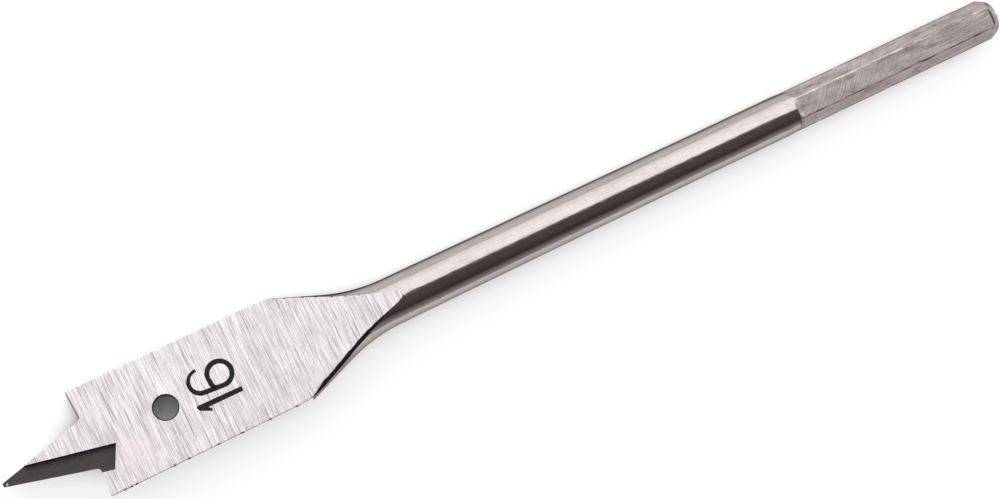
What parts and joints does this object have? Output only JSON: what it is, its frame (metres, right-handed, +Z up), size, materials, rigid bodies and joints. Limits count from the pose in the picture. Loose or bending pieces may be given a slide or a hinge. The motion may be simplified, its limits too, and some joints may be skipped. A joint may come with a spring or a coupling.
{
  "type": "spade drill bit",
  "caption": "Flat wood-boring spade bit in one piece of steel: grooved centre point, ground blade with a hole, flared neck, round shaft and hexagonal drive end.",
  "frame": {"origin": "on the bench under the middle of the bit's length, straight below its axis", "axes": "+X along the bit from the point to the hexagonal end, +Y across the blade, +Z up from the bench that the bit lies on"},
  "size_m": [0.16, 0.016, 0.007],
  "materials": {
    "steel": "ground across the blade, drawn satin on the shaft"
  },
  "bodies": {
    "root": {"spade_bit": "steel"}
  },
  "joints": []
}
